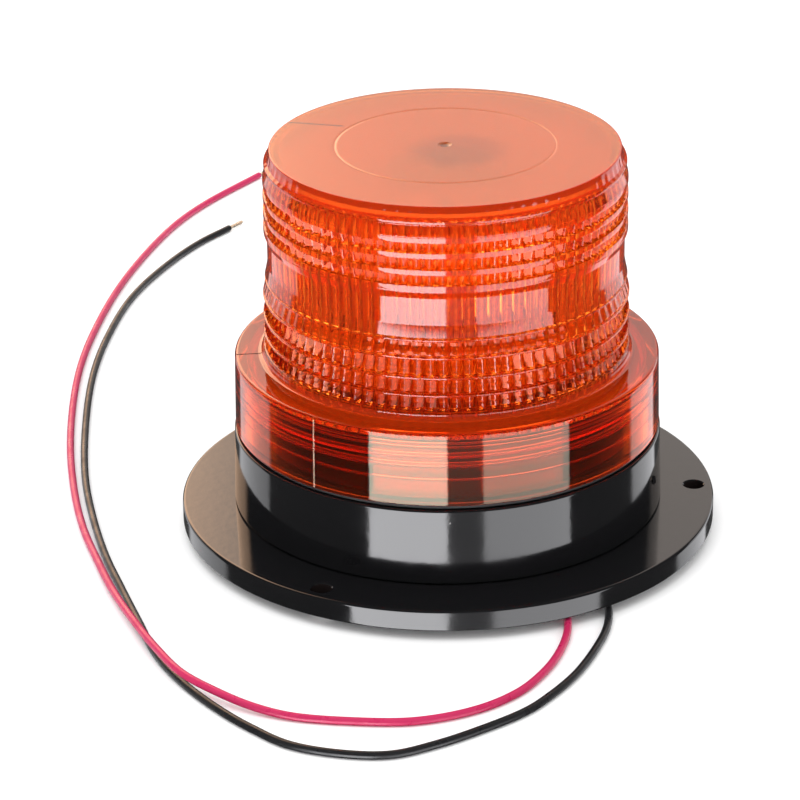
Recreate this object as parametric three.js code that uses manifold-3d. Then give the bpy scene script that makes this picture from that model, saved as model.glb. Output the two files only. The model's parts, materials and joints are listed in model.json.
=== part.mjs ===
// Barricade warning light: a low amber beacon on a three-hole mounting flange.
//
// Units are millimetres and +Z is up. The origin is the centre of the footprint, on the surface
// that the three rubber foot pads stand on. The lens unscrews from the collar of the black
// housing on a right-hand thread; a light emitting tower stands on a round driver board inside.

import * as THREE from 'three';
import { mergeVertices } from 'three/addons/utils/BufferGeometryUtils.js';
import Module from 'manifold-3d';

const wasm = await Module();
wasm.setup();

// ---------------------------------------------------------------- driving dimensions

const GAP = 0.3;            // clearance between pieces that touch
const SEG = 48;             // facets round the large turned pieces

// foot pads and mounting flange
const PAD_H = 2.5;
const PAD_IN = 42;
const PAD_OUT = 57;
const PAD_HALF_DEG = 22;
const FLANGE_R = 65;
const FLANGE_BOT = PAD_H;
const FLANGE_TOP = 7.65;
const FLANGE_EDGE = 0.6;
const FLANGE_RECESS_R = 34;
const FLANGE_RECESS_TOP = 5.15;
const BOLT_CIRCLE_R = 60.4;
const BOLT_HOLE_R = 2.4;
const BOLT_AZ = [0, 120, 240];
const SPIGOT_R = 48.6;
const SPIGOT_IN = 46.2;
const SPIGOT_TOP = 9.4;

// screws that hold the flange to the housing
const FIX_R = 44.2;
const FIX_AZ = [30, 150, 270];
const FIX_BORE = 1.8;
const FIX_SHANK = 1.45;
const FIX_HEAD_R = 2.9;
const FIX_POCKET_R = 3.4;
const FIX_POCKET_TOP = 5.0;

// housing
const BODY_BOT = 7.95;
const BODY_TOP = 26.4;
const BODY_R_BOT = 52.1;
const BODY_R_TOP = 51.6;
const BODY_IN = 49.3;
const SHOULDER_T = 2.4;
const COLLAR_R = 46.5;
const COLLAR_IN = 44;
const COLLAR_TOP = 42.2;
const SEAT_Z = 39.9;        // ledge inside the collar that carries the driver board
const SEAT_T = 1.6;
const SEAT_IN = 40.0;
const BOARD_BOSS_R = 37.0;
const BOARD_BOSS_AZ = [90, 210, 330];

// screw thread between collar and lens
const PITCH = 2.4;
const THREAD_CREST = 47.5;
const THREAD_Z0 = 34.0;
const THREAD_TURNS = 3;
const LENS_THREAD_CREST = 47.0;
const LENS_THREAD_TURNS = 1.5;

// lens
const LENS_BOT = 27.5;
const LENS_TOP = 96.9;
const LENS_IN = 40.2;
const SKIRT_IN = 48.1;
const SKIRT_R = 51.0;
const SKIRT_R_BOT = 51.35;
const LEDGE_Z = 45.6;
const LEDGE_T = 2.4;
const DOME_FOOT_Z = 46.9;
const RIB_DEPTH = 0.45;
const LOWER_RIBS = 4;
const LOWER_RIB_R = 43.75;
const UPPER_RIBS = 5;
const UPPER_RIB_R = 43.2;
const BAND_R = 42.45;
const BAND_BOT = 67.9;
const BAND_TOP = 73.8;

// driver board and light tower
const BOARD_R = 43.4;
const BOARD_BOT = SEAT_Z + GAP;
const BOARD_TOP = BOARD_BOT + 1.6;
const TOWER_R = 12;
const TOWER_BOT = BOARD_TOP + GAP;
const TOWER_TOP = 88;
const TOWER_BORE = 6;
const STRIP_W = 10.6;
const STRIP_T = 1.2;
const STRIP_BOT = 46.6;
const STRIP_TOP = 86.6;
const LED_SIZE = 5;
const LED_T = 1.6;
const LED_Z = [57.5, 75.5];
const CAP_BOARD_R = 13.5;

// leads
const WIRE_R = 0.925;
const STRAND_R = 0.5;
const WIRE_Z = 1.0;         // centre height of a lead that lies on the surface

// ---------------------------------------------------------------- materials

function material(color, roughness, metalness = 0) {
  return new THREE.MeshStandardMaterial({ color, roughness, metalness });
}

const AMBER = new THREE.MeshStandardMaterial({
  color: 0xf4601a, roughness: 0.12, metalness: 0, transparent: true, opacity: 0.55,
});
const BLACK_PLASTIC = material(0x17171a, 0.22);
const RUBBER = material(0x1d1d1d, 0.85);
const WHITE_PLASTIC = material(0xe9e7e0, 0.4);
const BOARD_GREEN = material(0x1c5a34, 0.45);
const BOARD_WHITE = material(0xeeeeea, 0.4);
const STEEL = material(0xb9bcc0, 0.3, 1);
const ALUMINIUM = material(0xc9ccd0, 0.35, 1);
const LED_YELLOW = material(0xe8b82e, 0.35);
const CHIP_BLACK = material(0x202022, 0.5);
const FERRITE = material(0x33333a, 0.6);
const TERMINAL_GREEN = material(0x2c8a4b, 0.45);
const RED_PVC = material(0xc4285a, 0.4);
const BLACK_PVC = material(0x232325, 0.4);
const TINNED_COPPER = material(0xc7b9a2, 0.35, 1);

// ---------------------------------------------------------------- geometry helpers

const rad = THREE.MathUtils.degToRad;
const group = new THREE.Group();

function add(name, geometry, mat) {
  const mesh = new THREE.Mesh(geometry, mat);
  mesh.name = name;
  group.add(mesh);
  return mesh;
}

// Vertices shared and zero-area triangles left out, so that the mesh closes.
function closedMesh(geometry) {
  const bare = geometry.clone();
  bare.deleteAttribute('normal');
  bare.deleteAttribute('uv');
  const merged = mergeVertices(bare, 1e-4);
  const old = merged.index.array;
  const kept = [];
  for (let i = 0; i < old.length; i += 3) {
    const [a, b, c] = [old[i], old[i + 1], old[i + 2]];
    if (a !== b && b !== c && c !== a) kept.push(a, b, c);
  }
  merged.setIndex(kept);
  return merged;
}

function toSolid(geometry) {
  const merged = closedMesh(geometry);
  return new wasm.Manifold(new wasm.Mesh({
    numProp: 3,
    vertProperties: new Float32Array(merged.attributes.position.array),
    triVerts: new Uint32Array(merged.index.array),
  }));
}

function toGeometry(solid) {
  const mesh = solid.getMesh();
  const geometry = new THREE.BufferGeometry();
  geometry.setAttribute('position', new THREE.BufferAttribute(mesh.vertProperties, 3));
  geometry.setIndex(new THREE.BufferAttribute(mesh.triVerts, 1));
  geometry.computeVertexNormals();
  return geometry;
}

// A profile of [radius, height] pairs turned about Z. A ring repeats its first point.
function turned(profile, segments = SEG) {
  const points = profile.map(([r, z]) => new THREE.Vector2(r, z));
  const lathe = new THREE.LatheGeometry(points, segments);
  lathe.rotateX(Math.PI / 2);
  return closedMesh(lathe);
}

function ring(rIn, rOut, z0, z1, segments = SEG) {
  return turned([[rIn, z0], [rOut, z0], [rOut, z1], [rIn, z1], [rIn, z0]], segments);
}

function rod(r, z0, z1, segments = 16) {
  return turned([[0, z0], [r, z0], [r, z1], [0, z1]], segments);
}

function boxAt(w, d, h, x, y, z) {
  const box = new THREE.BoxGeometry(w, d, h);
  box.translate(x, y, z);
  return closedMesh(box);
}

function at(geometry, radius, azDeg) {
  const moved = geometry.clone();
  moved.translate(radius * Math.cos(rad(azDeg)), radius * Math.sin(rad(azDeg)), 0);
  return moved;
}

function spun(geometry, azDeg) {
  const moved = geometry.clone();
  moved.rotateZ(rad(azDeg));
  return moved;
}

function cut(base, tools) {
  return tools.reduce((solid, tool) => solid.subtract(toSolid(tool)), base);
}

function join(base, extras) {
  return extras.reduce((solid, extra) => solid.add(toSolid(extra)), base);
}

// A straight ridge of the given section wrapped round the Z axis as a helix.
function helicalRidge(section, z0, turns, perTurn = 48) {
  const shape = new THREE.Shape(section.map(([r, z]) => new THREE.Vector2(r, z)));
  const sweep = turns * 2 * Math.PI;
  const bar = new THREE.ExtrudeGeometry(shape, {
    steps: Math.round(turns * perTurn), depth: sweep, bevelEnabled: false,
  });
  const pos = bar.attributes.position;
  for (let i = 0; i < pos.count; i += 1) {
    const r = pos.getX(i);
    const t = pos.getZ(i);
    const z = z0 + pos.getY(i) + PITCH * t / (2 * Math.PI);
    pos.setXYZ(i, r * Math.cos(t), r * Math.sin(t), z);
  }
  return facingOut(closedMesh(bar));
}

// Turns a closed mesh right side out when its signed volume is negative.
function facingOut(geometry) {
  const pos = geometry.attributes.position;
  const idx = geometry.index.array;
  const [a, b, c] = [new THREE.Vector3(), new THREE.Vector3(), new THREE.Vector3()];
  let volume = 0;
  for (let i = 0; i < idx.length; i += 3) {
    a.fromBufferAttribute(pos, idx[i]);
    b.fromBufferAttribute(pos, idx[i + 1]);
    c.fromBufferAttribute(pos, idx[i + 2]);
    volume += a.dot(b.cross(c));
  }
  if (volume < 0) {
    const flipped = Array.from(idx);
    for (let i = 0; i < flipped.length; i += 3) {
      [flipped[i], flipped[i + 1]] = [flipped[i + 1], flipped[i]];
    }
    geometry.setIndex(flipped);
  }
  return geometry;
}

// A round tube along a smooth curve through the given points, with the same number of
// steps between each pair of points, so that tight bends are stepped finely.
function tube(points, radius, stepsPerSpan, sides = 8) {
  const curve = new THREE.CatmullRomCurve3(
    points.map(([x, y, z]) => new THREE.Vector3(x, y, z)), false, 'centripetal');
  curve.getUtoTmapping = (u) => u;
  const outline = [];
  for (let i = 0; i < sides; i += 1) {
    const a = 2 * Math.PI * i / sides;
    outline.push(new THREE.Vector2(radius * Math.cos(a), radius * Math.sin(a)));
  }
  const body = new THREE.ExtrudeGeometry(new THREE.Shape(outline), {
    steps: stepsPerSpan * (points.length - 1), extrudePath: curve, bevelEnabled: false,
  });
  return facingOut(closedMesh(body));
}

// A pan-head screw that points up, head below; zHead is the underside of the head.
function screwUp(headR, headH, shankR, zHead, zTip) {
  return turned([
    [0, zHead], [headR * 0.8, zHead], [headR, zHead + headH * 0.45],
    [headR, zHead + headH], [shankR, zHead + headH], [shankR, zTip - 1.2], [0, zTip],
  ], 12);
}

// The same screw pointing down, head above; zSeat is the face that the head bears on.
function screwDown(headR, headH, shankR, zSeat, zTip) {
  return turned([
    [0, zTip], [shankR, zTip + 1.2], [shankR, zSeat], [headR, zSeat],
    [headR, zSeat + headH * 0.55], [headR * 0.8, zSeat + headH], [0, zSeat + headH],
  ], 12);
}

// ---------------------------------------------------------------- mounting flange and pads

function padGeometry(azDeg) {
  const shape = new THREE.Shape();
  const half = rad(PAD_HALF_DEG);
  shape.absarc(0, 0, PAD_OUT, -half, half, false);
  shape.absarc(0, 0, PAD_IN, half, -half, true);
  const pad = new THREE.ExtrudeGeometry(shape, {
    depth: PAD_H - GAP, bevelEnabled: false, curveSegments: 8,
  });
  return spun(closedMesh(pad), azDeg);
}

BOLT_AZ.forEach((az, i) => add(`foot_pad_${i + 1}`, padGeometry(az), RUBBER));

function flangeGeometry() {
  const disc = toSolid(turned([
    [8, FLANGE_RECESS_TOP], [FLANGE_RECESS_R, FLANGE_RECESS_TOP], [FLANGE_RECESS_R, FLANGE_BOT],
    [FLANGE_R - 0.4, FLANGE_BOT], [FLANGE_R, FLANGE_BOT + 0.4],
    [FLANGE_R, FLANGE_TOP - FLANGE_EDGE], [FLANGE_R - FLANGE_EDGE, FLANGE_TOP],
    [SPIGOT_R, FLANGE_TOP], [SPIGOT_R, SPIGOT_TOP], [SPIGOT_IN, SPIGOT_TOP],
    [SPIGOT_IN, FLANGE_TOP], [8, FLANGE_TOP], [8, FLANGE_RECESS_TOP],
  ], 60));
  const holes = [];
  BOLT_AZ.forEach((az) => holes.push(at(rod(BOLT_HOLE_R, 0, 12, 16), BOLT_CIRCLE_R, az)));
  FIX_AZ.forEach((az) => {
    holes.push(at(rod(FIX_BORE, 0, 12, 12), FIX_R, az));
    holes.push(at(rod(FIX_POCKET_R, 0, FIX_POCKET_TOP, 16), FIX_R, az));
    // the register ring is notched where a housing boss comes down through it
    holes.push(at(rod(5.2, FLANGE_TOP, 12, 12), FIX_R + 0.8, az));
  });
  return toGeometry(cut(disc, holes));
}

add('mounting_flange', flangeGeometry(), BLACK_PLASTIC);

FIX_AZ.forEach((az, i) => {
  const screw = screwUp(FIX_HEAD_R, 1.7, FIX_SHANK, FIX_POCKET_TOP - GAP - 1.7, 17);
  add(`flange_screw_${i + 1}`, at(screw, FIX_R, az), STEEL);
});

// ---------------------------------------------------------------- cable grommet

const RED_BORE = [1.0, -3.3];
const BLACK_BORE = [3.4, 0.4];

function grommetGeometry() {
  const body = toSolid(turned([
    [0, 4.2], [10, 4.2], [10, FLANGE_RECESS_TOP - GAP], [7.6, FLANGE_RECESS_TOP - GAP],
    [7.6, FLANGE_TOP + GAP], [9.4, FLANGE_TOP + GAP], [8.6, 9.2], [0, 9.2],
  ], 24));
  const bores = [RED_BORE, BLACK_BORE].map(([x, y]) => {
    const bore = rod(WIRE_R + 0.45, 0, 12, 10);
    bore.translate(x, y, 0);
    return bore;
  });
  return toGeometry(cut(body, bores));
}

add('cable_grommet', grommetGeometry(), RUBBER);

// ---------------------------------------------------------------- housing

const RIDGE_OUT = [[COLLAR_R - 0.4, -0.72], [THREAD_CREST, -0.3],
  [THREAD_CREST, 0.3], [COLLAR_R - 0.4, 0.72]];
const RIDGE_IN = [[SKIRT_IN + 0.4, -0.66], [LENS_THREAD_CREST, -0.3],
  [LENS_THREAD_CREST, 0.3], [SKIRT_IN + 0.4, 0.66]];

function housingGeometry() {
  const shell = toSolid(turned([
    [BODY_IN, BODY_BOT], [BODY_R_BOT, BODY_BOT], [BODY_R_TOP, BODY_TOP - 0.5],
    [BODY_R_TOP - 0.5, BODY_TOP], [COLLAR_R, BODY_TOP], [COLLAR_R, COLLAR_TOP - 0.4],
    [COLLAR_R - 0.4, COLLAR_TOP], [COLLAR_IN, COLLAR_TOP], [COLLAR_IN, SEAT_Z],
    [SEAT_IN, SEAT_Z], [SEAT_IN, SEAT_Z - SEAT_T], [COLLAR_IN, SEAT_Z - SEAT_T - 2],
    [COLLAR_IN, BODY_TOP - SHOULDER_T], [BODY_IN, BODY_TOP - SHOULDER_T],
    [BODY_IN, BODY_BOT],
  ]));
  const extras = [helicalRidge(RIDGE_OUT, THREAD_Z0, THREAD_TURNS)];
  const holes = [];
  FIX_AZ.forEach((az) => {
    extras.push(at(rod(4.2, BODY_BOT, BODY_TOP - 1, 12), FIX_R + 0.8, az));
    holes.push(at(rod(FIX_BORE, 0, 18.5, 12), FIX_R, az));
  });
  BOARD_BOSS_AZ.forEach((az) => {
    extras.push(at(rod(3.4, SEAT_Z - 9, SEAT_Z, 12), BOARD_BOSS_R + 0.8, az));
    holes.push(at(rod(1.4, SEAT_Z - 7.5, 60, 8), BOARD_BOSS_R, az));
  });
  return toGeometry(cut(join(shell, extras), holes));
}

add('base_housing', housingGeometry(), BLACK_PLASTIC);

// ---------------------------------------------------------------- lens and its seal

add('lens_seal', ring(48.2, 50.9, BODY_TOP + GAP, LENS_BOT - GAP), RUBBER);

// Stacked shallow ribs between two heights; each rib slopes in to a groove under the next.
function ribs(z0, z1, count, r0, r1) {
  const out = [];
  const pitch = (z1 - z0) / count;
  for (let i = 0; i < count; i += 1) {
    const z = z0 + i * pitch;
    const r = r0 + (r1 - r0) * i / (count - 1);
    out.push([r, z], [r - RIB_DEPTH, z + pitch * 0.8]);
  }
  return out;
}

function lensGeometry() {
  const outer = [
    [SKIRT_IN, LENS_BOT], [SKIRT_R_BOT, LENS_BOT], [SKIRT_R, LEDGE_Z - 0.8],
    [SKIRT_R - 0.8, LEDGE_Z], [LOWER_RIB_R + 1.6, LEDGE_Z],
    ...ribs(DOME_FOOT_Z, 65.2, LOWER_RIBS, LOWER_RIB_R, 43.5),
    [43.4, 65.6], [BAND_R, BAND_BOT], [BAND_R, BAND_TOP],
    ...ribs(76.2, 95.4, UPPER_RIBS, UPPER_RIB_R, 42.6),
    [41.4, LENS_TOP], [0, LENS_TOP],
  ];
  const inner = [
    [0, LENS_TOP - 2.3], [LENS_IN - 0.8, LENS_TOP - 2.3], [LENS_IN, LENS_TOP - 3.1],
    [LENS_IN, LEDGE_Z - LEDGE_T], [SKIRT_IN, LEDGE_Z - LEDGE_T], [SKIRT_IN, LENS_BOT],
  ];
  const shell = toSolid(turned([...outer, ...inner]));
  const ridge = helicalRidge(RIDGE_IN, THREAD_Z0 + PITCH / 2, LENS_THREAD_TURNS);
  return toGeometry(join(shell, [ridge]));
}

add('lens', lensGeometry(), AMBER);

// ---------------------------------------------------------------- driver board

function boardGeometry() {
  const disc = toSolid(rod(BOARD_R, BOARD_BOT, BOARD_TOP, SEG));
  const holes = BOARD_BOSS_AZ.map((az) => at(rod(1.6, 0, 60, 12), BOARD_BOSS_R, az));
  return toGeometry(cut(disc, holes));
}

add('driver_board', boardGeometry(), BOARD_GREEN);

BOARD_BOSS_AZ.forEach((az, i) => {
  const screw = screwDown(2.5, 1.5, 1.1, BOARD_TOP + GAP, SEAT_Z - 6.5);
  add(`board_screw_${i + 1}`, at(screw, BOARD_BOSS_R, az), STEEL);
});

add('reflector_dish', turned([
  [14.8, TOWER_BOT], [16.4, TOWER_BOT], [16.4, 44.0], [35.6, 44.4], [35.6, 45.6],
  [14.8, 45.2], [14.8, TOWER_BOT],
], 36), WHITE_PLASTIC);

// components that hang from the underside of the board
const UNDER = BOARD_BOT - GAP;

function canGeometry() {
  const can = turned([
    [0, UNDER - 16], [4.6, UNDER - 16], [5, UNDER - 15.6], [5, UNDER - 2.4],
    [4.7, UNDER - 1.9], [5, UNDER - 1.4], [5, UNDER], [0, UNDER],
  ], 16);
  can.translate(-18, 12, 0);
  return can;
}

add('filter_capacitor', canGeometry(), CHIP_BLACK);

const coil = turned([
  [0, UNDER - 8], [5.5, UNDER - 8], [5.5, UNDER - 6.4], [4.2, UNDER - 6.2],
  [4.2, UNDER - 1.8], [5.5, UNDER - 1.6], [5.5, UNDER], [0, UNDER],
], 16);
coil.translate(-16, -14, 0);
add('power_inductor', coil, FERRITE);
add('driver_chip', boxAt(6, 5, 1.7, 4, 20, UNDER - 0.85), CHIP_BLACK);
add('power_transistor', boxAt(6.6, 6.2, 2.4, 18, 14, UNDER - 1.2), CHIP_BLACK);
add('reverse_diode', boxAt(4.4, 2.7, 2.2, 20, 2, UNDER - 1.1), CHIP_BLACK);

function terminalGeometry() {
  const block = toSolid(boxAt(11, 8, 9, 14, -14, UNDER - 4.5));
  const mouths = [-2.6, 2.6].map((dx) => boxAt(3.2, 5.2, 6, 14 + dx, -14, UNDER - 9));
  return toGeometry(cut(block, mouths));
}

add('terminal_block', terminalGeometry(), TERMINAL_GREEN);

// ---------------------------------------------------------------- light tower

function towerGeometry() {
  const post = toSolid(rod(TOWER_R, TOWER_BOT, TOWER_TOP, 6));
  const bore = rod(TOWER_BORE, 0, TOWER_TOP - 8, 16);
  const pilot = rod(1.4, TOWER_TOP - 12, TOWER_TOP + 5, 8);
  return toGeometry(cut(post, [bore, pilot]));
}

add('led_tower', towerGeometry(), ALUMINIUM);

const FACE = TOWER_R * Math.cos(Math.PI / 6);
const STRIP_X = FACE + GAP + STRIP_T / 2;
const LED_X = FACE + GAP + STRIP_T + GAP + LED_T / 2;

// facets of the post face outwards at 0, 60, 120 ... degrees
for (let face = 0; face < 6; face += 1) {
  const az = face * 60;
  const height = STRIP_TOP - STRIP_BOT;
  const strip = boxAt(STRIP_T, STRIP_W, height, STRIP_X, 0, STRIP_BOT + height / 2);
  add(`led_strip_${face + 1}`, spun(strip, az), BOARD_WHITE);
  LED_Z.forEach((z, row) => {
    const led = boxAt(LED_T, LED_SIZE, LED_SIZE, LED_X, 0, z);
    add(`led_${face + 1}_${row === 0 ? 'low' : 'high'}`, spun(led, az), LED_YELLOW);
  });
}

function topBoardGeometry() {
  const z0 = TOWER_TOP + GAP;
  const disc = toSolid(rod(CAP_BOARD_R, z0, z0 + 1.4, 32));
  return toGeometry(cut(disc, [rod(1.7, 0, 120, 10)]));
}

add('top_board', topBoardGeometry(), BOARD_WHITE);
add('tower_screw', screwDown(2.6, 1.6, 1.1, TOWER_TOP + 2, TOWER_TOP - 9), STEEL);

[90, 210, 330].forEach((az, i) => {
  const z0 = TOWER_TOP + GAP + 1.4 + GAP;
  const led = boxAt(LED_SIZE, LED_SIZE, LED_T, 8.4, 0, z0 + LED_T / 2);
  add(`top_led_${i + 1}`, spun(led, az), LED_YELLOW);
});

// ---------------------------------------------------------------- leads

// Each lead drops through its grommet bore, bends on to the surface, runs out under the
// flange at the front and loops round the left of the lamp to end behind it.
const RED_ROUTE = [
  [1, -3.3, 9], [1, -3.3, 4.7], [1.3, -3.7, 2.85], [2.15, -4.75, 1.5], [3.4, -6.3, 1.1],
  [12, -16.5, WIRE_Z], [20.6, -30, WIRE_Z], [25.6, -44, WIRE_Z], [26.3, -61.3, WIRE_Z],
  [23.7, -73.1, WIRE_Z], [19.4, -82.8, WIRE_Z], [13.5, -91.3, WIRE_Z], [4, -98.6, WIRE_Z],
  [-9.1, -103, WIRE_Z], [-23.3, -102.6, WIRE_Z], [-36.4, -100.2, 1.1], [-45, -96.6, 1.7],
  [-53.6, -90.8, 2.6], [-60.8, -84, 3.2], [-67.3, -72.2, 3.2], [-74.2, -55.6, 2.5],
  [-79.8, -40, 1.8], [-84.5, -24, 1.3], [-89.1, -7.3, 1.1], [-93.2, 13.9, WIRE_Z],
  [-97.1, 46.8, WIRE_Z], [-98.5, 89.6, WIRE_Z], [-96, 123.2, WIRE_Z], [-90.2, 159.1, WIRE_Z],
  [-79.6, 197.4, WIRE_Z], [-70.5, 217.5, WIRE_Z], [-54.7, 242.6, WIRE_Z],
];
const BLACK_ROUTE = [
  [3.4, 0.4, 9], [3.4, 0.4, 4.7], [3.75, 0.05, 2.85], [4.7, -0.9, 1.5], [6.2, -2.3, 1.1],
  [17, -12.8, WIRE_Z], [27.6, -25.5, WIRE_Z], [34.4, -39, WIRE_Z], [36.2, -51, WIRE_Z],
  [35.4, -60.6, WIRE_Z], [32.4, -70.6, WIRE_Z], [27, -83, WIRE_Z], [21, -92.4, WIRE_Z],
  [15.2, -98.9, WIRE_Z], [4.7, -106, WIRE_Z], [-4.7, -113, WIRE_Z], [-14.2, -117.2, WIRE_Z],
  [-24.3, -116.7, WIRE_Z], [-36.1, -112.6, WIRE_Z], [-44.8, -105, WIRE_Z],
  [-51.6, -97.4, WIRE_Z], [-60.4, -85, WIRE_Z], [-67.2, -71.8, WIRE_Z],
  [-72.5, -55.3, WIRE_Z], [-77.8, -38.1, WIRE_Z], [-82.6, -21.8, WIRE_Z],
  [-87.2, -1.6, WIRE_Z], [-91.1, 21.4, WIRE_Z], [-93.6, 50.5, WIRE_Z], [-94.5, 86.8, WIRE_Z],
  [-92.5, 114.4, WIRE_Z], [-87.5, 143.6, WIRE_Z], [-78.9, 168, WIRE_Z], [-70.4, 185, WIRE_Z],
  [-62.2, 196.7, WIRE_Z],
];

// The bare strands go on from the end of the route, along its last direction.
function tipPoints(route, length) {
  const [a, b] = route.slice(-2).map(([x, y, z]) => new THREE.Vector3(x, y, z));
  const dir = b.clone().sub(a).normalize();
  return [GAP, length / 2, length].map((s) => {
    const p = b.clone().addScaledVector(dir, s);
    return [p.x, p.y, p.z];
  });
}

add('red_lead', tube(RED_ROUTE, WIRE_R, 2), RED_PVC);
add('black_lead', tube(BLACK_ROUTE, WIRE_R, 2), BLACK_PVC);
add('red_strands', tube(tipPoints(RED_ROUTE, 5), STRAND_R, 1), TINNED_COPPER);
add('black_strands', tube(tipPoints(BLACK_ROUTE, 7), STRAND_R, 1), TINNED_COPPER);

// inside the housing the leads rise from the grommet to the terminal block
add('red_tail', tube([
  [1.0, -3.3, 9.5], [1.4, -3.8, 13], [6, -9, 20], [11, -13.4, 25], [11.4, -14, 30],
], WIRE_R, 3), RED_PVC);
add('black_tail', tube([
  [3.4, 0.4, 9.5], [4, 0.2, 13], [10, -5, 20], [16, -12.6, 25], [16.6, -14, 30],
], WIRE_R, 3), BLACK_PVC);

export default group;
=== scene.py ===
"""Looks of a surface-mount amber warning beacon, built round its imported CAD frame.

Sizes are millimetres and become metres where a mesh is made (MM). The lens, housing, flange,
seal, pads, screws, grommet, leads and light emitters are made here; the other pieces inside
keep their CAD shape.
"""

import json
import math

import bmesh
import bpy
import numpy as np
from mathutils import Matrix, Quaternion, Vector


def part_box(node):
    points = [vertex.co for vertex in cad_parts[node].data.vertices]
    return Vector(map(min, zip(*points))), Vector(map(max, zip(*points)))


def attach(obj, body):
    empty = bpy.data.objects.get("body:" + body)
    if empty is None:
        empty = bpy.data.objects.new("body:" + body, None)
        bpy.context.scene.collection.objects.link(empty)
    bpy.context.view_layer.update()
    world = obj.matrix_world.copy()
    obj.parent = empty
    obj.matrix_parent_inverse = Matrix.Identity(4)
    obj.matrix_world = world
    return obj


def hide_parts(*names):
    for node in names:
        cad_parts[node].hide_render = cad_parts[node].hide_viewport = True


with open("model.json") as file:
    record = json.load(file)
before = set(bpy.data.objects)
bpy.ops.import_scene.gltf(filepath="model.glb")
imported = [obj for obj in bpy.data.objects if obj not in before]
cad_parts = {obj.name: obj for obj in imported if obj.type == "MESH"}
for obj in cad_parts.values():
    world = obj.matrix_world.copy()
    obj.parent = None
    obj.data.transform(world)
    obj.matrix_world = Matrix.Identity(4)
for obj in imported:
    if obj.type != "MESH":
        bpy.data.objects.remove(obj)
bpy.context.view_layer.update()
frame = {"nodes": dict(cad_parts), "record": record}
NODES = frame["nodes"]
MM = 0.001


def corners(node):
    """Lowest and highest corner of a CAD node, in millimetres."""
    low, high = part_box(node)
    return low / MM, high / MM


# ------------------------------------------------------------------ driving dimensions

FLANGE_LOW, FLANGE_HIGH = corners("mounting_flange")
FLANGE_R = FLANGE_HIGH.x
FLANGE_BOTTOM = FLANGE_LOW.z
FLANGE_TOP = 7.65
BOLT_CIRCLE = 60.4
BOLT_HOLE = 2.4
BOLT_AZ = (0, 120, 240)
FIX_AZ = (30, 150, 270)
FIX_CIRCLE = 44.2

HOUSING_LOW, HOUSING_HIGH = corners("base_housing")
HOUSING_BOTTOM = HOUSING_LOW.z
HOUSING_R_BOTTOM = 52.1
HOUSING_R_TOP = 51.6
SHOULDER_Z = 26.4
COLLAR_R = 46.5
COLLAR_IN = 44.0
COLLAR_TOP = HOUSING_HIGH.z
SEAT_Z = 39.9
BOSS_AZ = (90, 210, 330)
BOSS_CIRCLE = 37.0

LENS_LOW, LENS_HIGH = corners("lens")
LENS_BOTTOM = LENS_LOW.z
LENS_TOP = LENS_HIGH.z
SKIRT_R = 51.0
SKIRT_IN = 48.1
LEDGE_Z = 45.6
LEDGE_UNDER = 43.2
DOME_FOOT_R = 43.75
BAND_R = 42.45
BAND = (68.8, 75.1)
RIB_R = 43.2
INNER_R = 41.0
INNER_TOP = 94.6
FLUTES = 90
FLUTE_STEPS = (0, 0.06, 0.16, 0.32, 0.5, 0.68, 0.84, 0.94)
HALF_FLUTE = 1.54
# azimuths in degrees
MOULD_LINE = 232
LEDGE_SEAM = 184

PITCH = 2.4
THREAD_Z = 34.0
THREAD_TURNS = 3

WIRE_R = 0.925
SURFACE_Z = 1.0


# ------------------------------------------------------------------ camera

CAMERA_DOWN = 24.133
CAMERA_ROLL = -0.83


def make_camera():
    """The camera fitted to the outlines of the object; it looks down by CAMERA_DOWN degrees."""
    data = bpy.data.cameras.new("camera")
    data.sensor_width = 36
    data.lens = 146.32
    data.clip_end = 20
    camera = bpy.data.objects.new("camera", data)
    bpy.context.scene.collection.objects.link(camera)
    camera.location = Vector((-11.4, -720.16, 354.08)) * MM
    tilt = Quaternion((1, 0, 0), math.radians(90 - CAMERA_DOWN))
    roll = Quaternion((0, 0, 1), math.radians(CAMERA_ROLL))
    camera.rotation_mode = "QUATERNION"
    camera.rotation_quaternion = tilt @ roll
    bpy.context.scene.camera = camera


make_camera()


# ------------------------------------------------------------------ material helpers

class Graph:
    """Short calls for building a node tree."""

    def __init__(self, tree):
        self.tree = tree

    def node(self, kind, inputs=None, **settings):
        made = self.tree.nodes.new(kind)
        for name, value in settings.items():
            setattr(made, name, value)
        for name, value in (inputs or {}).items():
            self.feed(made.inputs[name], value)
        return made

    def feed(self, socket, value):
        if isinstance(value, bpy.types.NodeSocket):
            self.tree.links.new(value, socket)
        else:
            socket.default_value = value

    def math(self, operation, *values):
        made = self.node("ShaderNodeMath", operation=operation)
        for socket, value in zip(made.inputs, values):
            self.feed(socket, value)
        return made.outputs[0]

    def smooth(self, value, low, high, start=0.0, end=1.0):
        made = self.node("ShaderNodeMapRange", interpolation_type="SMOOTHSTEP")
        for socket, number in zip(made.inputs, (value, low, high, start, end)):
            self.feed(socket, number)
        return made.outputs[0]


def shader(name, colour, roughness, **sockets):
    """A Principled material, its graph and its shader node."""
    made = bpy.data.materials.new(name)
    made.use_nodes = True
    graph = Graph(made.node_tree)
    bsdf = made.node_tree.nodes["Principled BSDF"]
    bsdf.inputs["Base Color"].default_value = (*colour, 1)
    bsdf.inputs["Roughness"].default_value = roughness
    for key, value in sockets.items():
        bsdf.inputs[key.replace("_", " ")].default_value = value
    return made, graph, bsdf


def object_noise(graph, scale, detail=3.0, roughness=0.5):
    place = graph.node("ShaderNodeTexCoord").outputs["Object"]
    return graph.node("ShaderNodeTexNoise", {
        "Vector": place, "Scale": scale, "Detail": detail, "Roughness": roughness,
    }).outputs["Fac"]


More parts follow.
